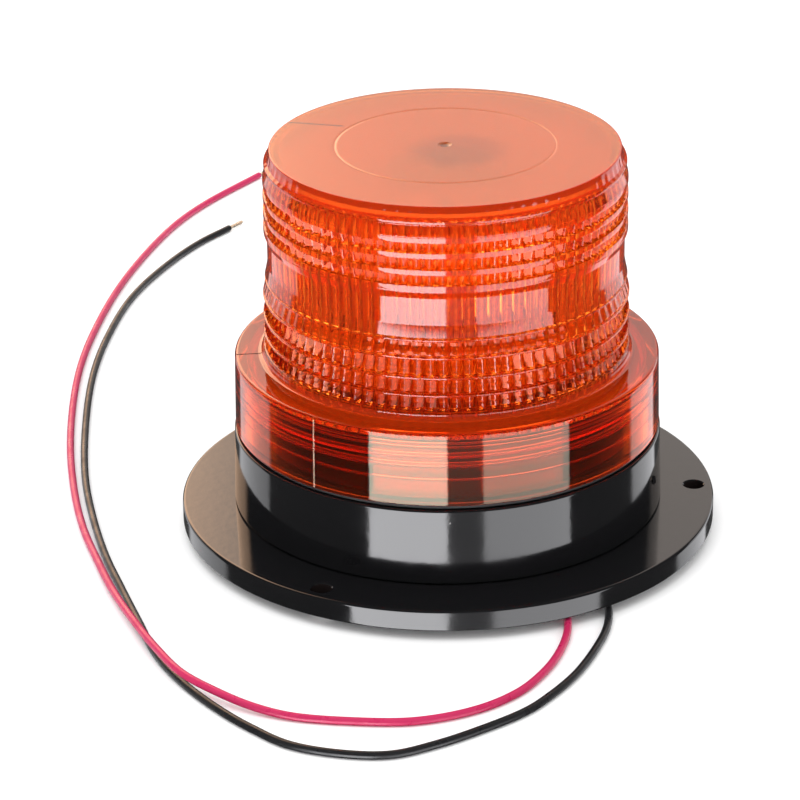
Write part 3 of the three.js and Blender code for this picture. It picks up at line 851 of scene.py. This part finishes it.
def make_housing():
    """Round housing, its threaded collar, and the bosses for the flange and board screws."""
    wall = Wall(np.linspace(0, 2 * np.pi, 288, endpoint=False))
    lower = soften([
        (49.3, HOUSING_BOTTOM, 0.25), (HOUSING_R_BOTTOM, HOUSING_BOTTOM, 0.3),
        (HOUSING_R_TOP, SHOULDER_Z, 0.5), (COLLAR_R, SHOULDER_Z, 0.5), (COLLAR_R, 31.0),
    ])[:-1]
    upper = soften([
        (COLLAR_R, 40.0), (COLLAR_R, COLLAR_TOP, 0.4), (COLLAR_IN, COLLAR_TOP, 0.3),
        (COLLAR_IN, SEAT_Z), (40.0, SEAT_Z, 0.3), (40.0, 38.3, 0.3), (COLLAR_IN, 36.3),
        (COLLAR_IN, 24.0, 0.5), (49.3, 24.0, 0.8), (49.3, 12.0),
    ])[1:-1]
    for radius, z in lower:
        wall.ring(radius, z)
    wall.ring(COLLAR_R, 30.0)
    wall.helix(COLLAR_R, 30.0, COLLAR_R, COLLAR_TOP - 0.62, THREAD_Z - PITCH, THREAD_TURNS - 1,
               47.5)
    for radius, z in upper[1:]:
        wall.ring(radius, z)
    wall.close()
    housing = wall.mesh("housing_moulding")
    finish_piece(housing, "black_plastic", "lamp_base", ["base_housing"])
    for i, azimuth in enumerate(FIX_AZ):
        post = turned(f"flange_boss_{i + 1}", [
            (0, 18.5), (1.3, 18.3), (1.8, 17.6), (1.8, HOUSING_BOTTOM), (4.2, HOUSING_BOTTOM, 0.3),
            (4.2, 24.8), (0, 24.8),
        ], 48, polar(FIX_CIRCLE + 0.3, azimuth))
        finish_piece(post, "black_plastic", "lamp_base")
    for i, azimuth in enumerate(BOSS_AZ):
        post = turned(f"board_boss_{i + 1}", [
            (0, 32.4), (1.4, 32.4), (1.4, SEAT_Z), (3.4, SEAT_Z, 0.2), (3.4, 30.9, 0.3),
            (1.4, 30.9), (0, 30.9),
        ], 48, polar(BOSS_CIRCLE, azimuth))
        finish_piece(post, "black_plastic", "lamp_base")


def make_seal():
    seal = turned("seal_ring_moulding", [
        (48.0, 26.55, 0.2), (50.6, 26.55, 0.3), (50.6, 27.35, 0.3), (48.0, 27.35, 0.2),
    ], 288)
    finish_piece(seal, "black_rubber", "seal_ring", ["lens_seal"])


# ------------------------------------------------------------------ lens

CLEAR, FLUTED, TEXTURED, HAZY, SKIRT, LEDGE, SEAM = range(7)


FLUTE_SLOPE = math.radians(46)


def flute_drop(place, crest, valley):
    """How far a fluted surface lies under its crests, mm: V grooves with rounded crest and foot.
    place runs from 0 on a crest to 1 in a valley."""
    deep = HALF_FLUTE * math.tan(FLUTE_SLOPE)
    down = place * deep
    near = np.hypot(crest, down) - crest
    far = deep - crest - np.hypot(valley, deep - down)
    return np.where(place < 0.5, near, far)


def make_lens():
    """Ribbed and fluted amber dome on a plain skirt, threaded inside to screw on the collar."""
    steps = np.array(FLUTE_STEPS)
    turns = (np.arange(FLUTES)[:, None] + steps).ravel() * 2 * np.pi / FLUTES
    wall = Wall(turns)
    place = np.tile(1 - np.abs(1 - 2 * steps), FLUTES)
    soft = flute_drop(place, 0.22, 0.3)
    sharp = flute_drop(place, 0.15, 0.15)
    inside = 0.7 * np.cos(place * np.pi / 2)

    def at(azimuth):
        """1 on the column nearest an azimuth, 0 elsewhere."""
        return np.arange(wall.steps) == np.argmin(np.abs(turns - math.radians(azimuth)))

    def outer(radius, z, flute=0.0):
        wall.ring(radius - flute, z)

    def inner(radius, z, deep=0.0):
        wall.ring(radius - deep * inside, z)

    # skirt with its mould line, ledge with its seam, and the fillet at the foot of the dome
    skirt = soften([
        (SKIRT_IN, LENS_BOTTOM + 2), (SKIRT_IN, LENS_BOTTOM, 0.3), (51.35, LENS_BOTTOM, 0.35),
        (SKIRT_R, LEDGE_Z, 0.8), (DOME_FOOT_R + 0.1, LEDGE_Z, 1.5), (DOME_FOOT_R, 50),
    ])[1:-1]
    for radius, z in skirt:
        wall.use(SKIRT if z < LEDGE_Z - 0.2 else LEDGE)
        on_ledge = LEDGE_Z - 0.1 < z < LEDGE_Z + 0.6
        on_side = radius > 51 and z > LENS_BOTTOM + 0.2
        outer(radius + 0.08 * at(MOULD_LINE) * on_side, z - 0.3 * at(LEDGE_SEAM) * on_ledge)
    # lower bands: each starts over a rounded lip with a groove and leans inwards above it
    lips = (47.9, 51.8, 56.1, 61.0, 65.2)
    flutes = (soft, soft, sharp, 0.12 * sharp)
    leans = (0.6, 0.7, 0.8, 0.75)
    for i, (z, above, flute, lean) in enumerate(zip(lips, lips[1:], flutes, leans)):
        radius = DOME_FOOT_R - 0.06 * i
        wall.use(CLEAR)
        lip(outer, radius, z)
        wall.use(FLUTED)
        outer(radius - 0.02, z + 0.72, flute * 0.9)
        outer(radius, z + 0.95, flute)
        outer(radius - lean / 2, (z + above) / 2, flute)
        outer(radius - lean, above - 0.8, flute)
        outer(radius - lean, above - 0.62, flute * 0.9)
    wall.use(CLEAR)
    lip(outer, 43.05, lips[-1])
    # plain band between two cones
    for radius, z in soften([(43.1, 66.0), (BAND_R, BAND[0], 1.5), (BAND_R, BAND[1], 0.6),
                             (RIB_R, 76.9, 0.4), (RIB_R, 79.0)])[1:-1]:
        outer(radius, z)
    # upper ribs: smooth bars, and between them hollows with deep flutes
    bars = (77.9, 81.7, 85.7, 89.4)
    half = 0.65
    for i, z in enumerate(bars):
        radius = RIB_R - 0.04 * i
        if i:
            wall.use(FLUTED)
            below = bars[i - 1] + half
            edge = z - half
            for back, height, flute in (
                    (0.40, below + 0.10, 0.2 * sharp), (0.42, below + 0.4, 0.7 * sharp),
                    (0.2, below + 1.1, sharp), (0.05, edge - 0.5, sharp),
                    (0.03, edge - 0.1, 0.9 * sharp)):
                outer(radius - back, height, flute)
        outer(radius - 0.02, z - half)
        wall.use(CLEAR)
        outer(radius + 0.02, z - half + 0.12)
        outer(radius + 0.03, z)
        outer(radius + 0.01, z + half - 0.12)
        outer(radius - 0.05, z + half)
    # two cones with a thin lip between them
    for radius, z in soften([(RIB_R - 0.1, 89.9), (43.05, 90.25, 0.3), (42.1, 92.75, 0.25),
                             (42.75, 93.15, 0.2), (42.75, 93.65, 0.25), (41.55, 96.4)])[1:-1]:
        outer(radius, z)
    wall.use(LEDGE)
    outer(42.1, 94.3, 0.1 * sharp)
    outer(41.75, 95.6, 0.1 * sharp)
    # rim and flat top with its ring and gate
    for radius, z in soften([(42.1, 95.15), (41.4, LENS_TOP, 0.35), (30, LENS_TOP)])[1:-1]:
        outer(radius, z)
    wall.use(HAZY)
    for radius, drop in ((38.0, 0), (34.0, 0), (30.0, 0), (26.8, 0), (26.3, 0), (26.15, 0.04),
                         (26.0, 0.06), (25.85, 0.04), (25.7, 0), (25.2, 0), (20.0, 0),
                         (14.0, 0), (8.0, 0), (4.0, 0), (1.7, 0), (1.5, 0.12), (1.1, 0.3),
                         (0.6, 0.36), (0.0, 0.36)):
        outer(radius, LENS_TOP - drop)
    # inner top and fluted inner wall
    wall.use(TEXTURED)
    for radius, z in ((0.0, INNER_TOP), (6.0, INNER_TOP), (16.0, INNER_TOP), (28.0, INNER_TOP),
                      (37.0, INNER_TOP), (39.0, INNER_TOP - 0.15), (40.2, INNER_TOP - 0.7)):
        inner(radius, z)
    inner(INNER_R, INNER_TOP - 1.6, 0.4)
    for z in (INNER_TOP - 2.6, 85.0, 76.0, 67.0, 58.0, 50.0, 46.0, 44.4):
        inner(INNER_R, z, 1.0)
    inner(INNER_R + 0.2, LEDGE_UNDER + 0.1)
    inner(INNER_R + 0.5, LEDGE_UNDER)
    wall.use(SKIRT)
    inner(45.0, LEDGE_UNDER)
    inner(SKIRT_IN - 0.4, LEDGE_UNDER)
    inner(SKIRT_IN - 0.1, LEDGE_UNDER - 0.1)
    inner(SKIRT_IN, LEDGE_UNDER - 0.4)
    # skirt wall with its thread between shallow beads
    for z in (42.3, 41.3):
        bead(wall, z)
    wall.helix(SKIRT_IN, 40.8, SKIRT_IN, 33.9, THREAD_Z + PITCH / 2, 1, 47.0, finish=LEDGE)
    bead(wall, 33.2)
    wall.close()
    moulding = wall.mesh("lens_moulding", 20)
    # the crests of the flutes stay polished; the mould line is hazy and the ledge seam black
    for face in moulding.data.polygons:
        x, y, z = face.center / MM
        azimuth = math.degrees(math.atan2(y, x)) % 360
        on_crest = abs(azimuth * FLUTES / 360 % 1 - 0.5) > 0.44
        outside = math.hypot(x, y) > SKIRT_R - 0.6 and z > 31
        if face.material_index == FLUTED and on_crest:
            face.material_index = CLEAR
        elif face.material_index == SKIRT and outside and abs(azimuth + 0.12 - MOULD_LINE) < 0.1:
            face.material_index = HAZY
        elif face.material_index == LEDGE and abs(z - LEDGE_Z) < 0.5:
            if abs(azimuth - LEDGE_SEAM) < 0.2:
                face.material_index = SEAM
    finish_piece(moulding, "amber_lens", "lens", ["lens"],
                 (AMBER_FLUTED, AMBER_TEXTURED, AMBER_HAZY, AMBER_SKIRT, AMBER_LEDGE, BORE_BLACK))


def bead(wall, z):
    """A shallow bead round the inside of the skirt."""
    for inward, up in ((0.0, 0.35), (0.22, 0.15), (0.22, -0.1), (0.0, -0.3)):
        if inward:
            wall.use(LEDGE)
        wall.ring(SKIRT_IN - inward, z + up)
    wall.use(SKIRT)


def lip(outer, radius, z):
    """A rounded lip at height z with a narrow groove over it."""
    for out, up in ((-0.05, -0.5), (0.06, -0.38), (0.14, -0.22), (0.16, 0.0), (0.10, 0.16),
                    (-0.06, 0.27), (-0.26, 0.33), (-0.30, 0.45), (-0.12, 0.56), (0.0, 0.62)):
        outer(radius + out, z + up)


# ------------------------------------------------------------------ light tower and boards

def emitter(name, centre, azimuth, upright, node):
    """A light emitter package: pale body, bevelled rim and a sunk phosphor window."""
    half, thick = 2.5, 1.6
    rim, sunk = 0.45, 0.25
    levels = ((half, -thick / 2), (half, thick / 2 - 0.25), (half - 0.12, thick / 2),
              (half - rim, thick / 2), (half - rim - 0.2, thick / 2 - sunk))
    points = []
    for size, depth in levels:
        points += [(size, size, depth), (-size, size, depth), (-size, -size, depth),
                   (size, -size, depth)]
    faces = [(3, 2, 1, 0)]
    for layer in range(len(levels) - 1):
        for k in range(4):
            n = (k + 1) % 4
            faces.append((layer * 4 + k, layer * 4 + n, (layer + 1) * 4 + n, (layer + 1) * 4 + k))
    last = (len(levels) - 1) * 4
    faces.append((last, last + 1, last + 2, last + 3))
    turn = math.radians(azimuth)
    placed = []
    for x, y, depth in points:
        if upright:
            out = centre[0] + depth
            placed.append((out * math.cos(turn) - x * math.sin(turn),
                           out * math.sin(turn) + x * math.cos(turn), centre[1] + y))
        else:
            r = centre[0] + x
            placed.append((r * math.cos(turn) - y * math.sin(turn),
                           r * math.sin(turn) + y * math.cos(turn), centre[1] + depth))
    obj = mesh_object(name, placed, faces)
    finish_piece(obj, "led_yellow", "lamp_base", [node])
    obj.data.materials.append(BOARD_WHITE)
    for polygon in obj.data.polygons:
        if polygon.index != len(faces) - 1:
            polygon.material_index = 1


def make_emitters():
    for face in range(6):
        for row, z in (("low", 57.5), ("high", 75.5)):
            node = f"led_{face + 1}_{row}"
            low, high = corners("led_1_" + row)
            emitter(node + "_package", ((low.x + high.x) / 2, z), face * 60, True, node)
    for i, azimuth in enumerate(BOSS_AZ):
        emitter(f"top_led_{i + 1}_package", (8.4, 90.8), azimuth, False, f"top_led_{i + 1}")


def dress_cad_nodes():
    """Every CAD node that still shows gets its slot's procedural material."""
    for sub in frame["record"]["subparts"]:
        obj = NODES[sub["node"]]
        if obj.hide_render:
            continue
        made = SLOT_MATERIAL[sub["material_slot"]]
        if not obj.material_slots:
            obj.data.materials.append(made)
        for slot in obj.material_slots:
            slot.material = made


make_flange()
for pad_node in ("foot_pad_1", "foot_pad_2", "foot_pad_3"):
    make_pad(pad_node)
make_screws()
make_grommet()
make_housing()
make_seal()
make_lens()
make_emitters()
dress_cad_nodes()


# ------------------------------------------------------------------ floor and light

def make_floor():
    half = 4.0
    mesh = bpy.data.meshes.new("floor")
    mesh.from_pydata([(-half, -half, 0), (half, -half, 0), (half, half, 0), (-half, half, 0)],
                     [], [(0, 1, 2, 3)])
    floor = bpy.data.objects.new("floor", mesh)
    bpy.context.scene.collection.objects.link(floor)
    paper = shader("floor_paper", (0.93, 0.93, 0.93), 0.9, Specular_IOR_Level=0.0)[0]
    floor.data.materials.append(paper)
    keep_out_of_gloss(floor)


def make_world():
    """A surround chosen by kind of ray: even white for the light that falls on the object,
    softboxes for what gloss mirrors, and light from above and behind for what the lens shows.
    It was tuned against the photo, so it isn't one physical room."""
    world = bpy.data.worlds.new("studio")
    world.use_nodes = True
    world.cycles.sampling_method = "NONE"
    bpy.context.scene.world = world
    tree = world.node_tree
    tree.nodes.clear()
    graph = Graph(tree)
    way = graph.node("ShaderNodeTexCoord").outputs["Generated"]
    split = graph.node("ShaderNodeSeparateXYZ", {"Vector": way})
    x, y, z = split.outputs
    degrees = 180 / math.pi
    forward = graph.math("MULTIPLY", y, -1)
    azimuth = graph.math("MULTIPLY", graph.math("ARCTAN2", x, forward), degrees)
    height = graph.math("MULTIPLY", graph.math("ARCSINE", z), degrees)

    def box(value, low, high, soft):
        rise = graph.smooth(value, low - soft, low + soft)
        fall = graph.smooth(value, high - soft, high + soft, 1.0, 0.0)
        return graph.math("MULTIPLY", rise, fall)

    def add(total, mask, colour, strength):
        tint = graph.node("ShaderNodeVectorMath", operation="SCALE")
        tint.inputs[0].default_value = colour
        graph.feed(tint.inputs["Scale"], graph.math("MULTIPLY", mask, strength))
        both = graph.node("ShaderNodeVectorMath", operation="ADD")
        graph.feed(both.inputs[0], total)
        graph.feed(both.inputs[1], tint.outputs[0])
        return both.outputs[0]

    def flat(level):
        return graph.node("ShaderNodeCombineXYZ", {"X": level, "Y": level, "Z": level}).outputs[0]

    def choose(factor, first, second):
        mix = graph.node("ShaderNodeMix", data_type="VECTOR")
        graph.feed(mix.inputs["Factor"], factor)
        graph.feed(mix.inputs[4], first)
        graph.feed(mix.inputs[5], second)
        return mix.outputs[1]

    # two softboxes in front, the gap between them, and two low reflectors behind. They reach
    # below the floor, which gloss doesn't mirror: an upright wall seen from above mirrors there
    front = box(height, -56, 0, 1.5)
    boxes = flat(0.08)
    for mask, level in (
            (graph.math("MULTIPLY", box(azimuth, -43, -1, 0.8), front), 9.7),
            (graph.math("MULTIPLY", box(azimuth, 18, 67, 0.8), front), 4.3),
            (graph.math("MULTIPLY", box(azimuth, -1, 18, 0.8), front), 0.55),
            (graph.math("MULTIPLY", box(azimuth, -152, -112, 2), box(height, -40, 10, 2)), 1.15),
            (graph.math("MULTIPLY", box(azimuth, 116, 148, 2), box(height, -40, 10, 2)), 1.5)):
        boxes = add(boxes, mask, (1, 1, 1.03), level)
    # mirrored only: the wall behind, warmer on the left
    behind = graph.math("SUBTRACT", 1.0, box(azimuth, -140, 140, 4))
    lit = graph.math("MULTIPLY", behind, box(height, 10, 60, 3))
    left = graph.math("MULTIPLY", graph.smooth(x, -0.10, -0.02, 1.0, 0.0), lit)
    mirrored = add(boxes, lit, (1.2, 1.06, 0.97), 1.0)
    mirrored = add(mirrored, left, (3.8, 2.2, 1.2), 1.0)
    # seen through the lens: light from above and from behind
    above = graph.smooth(height, 12, 45)
    through = add(boxes, above, (1, 1, 1), 1.4)
    through = add(through, graph.smooth(y, -0.15, 0.45), (1, 1, 1), 0.75)
    rays = graph.node("ShaderNodeLightPath").outputs
    shown = choose(rays["Is Glossy Ray"], flat(1.3), mirrored)
    shown = choose(rays["Is Transmission Ray"], shown, through)
    background = graph.node("ShaderNodeBackground", {"Color": shown})
    output = graph.node("ShaderNodeOutputWorld")
    graph.feed(output.inputs["Surface"], background.outputs["Background"])


def make_light(name, place, target, size, power):
    data = bpy.data.lights.new(name, "AREA")
    data.shape = "DISK"
    data.size = size
    data.energy = power
    light = bpy.data.objects.new(name, data)
    bpy.context.scene.collection.objects.link(light)
    light.location = place
    light.rotation_mode = "QUATERNION"
    light.rotation_quaternion = (Vector(place) - Vector(target)).to_track_quat("Z", "Y")
    keep_out_of_gloss(light)


make_floor()
make_world()
make_light("top_light", (-0.3, -0.35, 1.3), (0, 0, 0.05), 1.2, 6)
bpy.context.scene.view_settings.view_transform = "Standard"
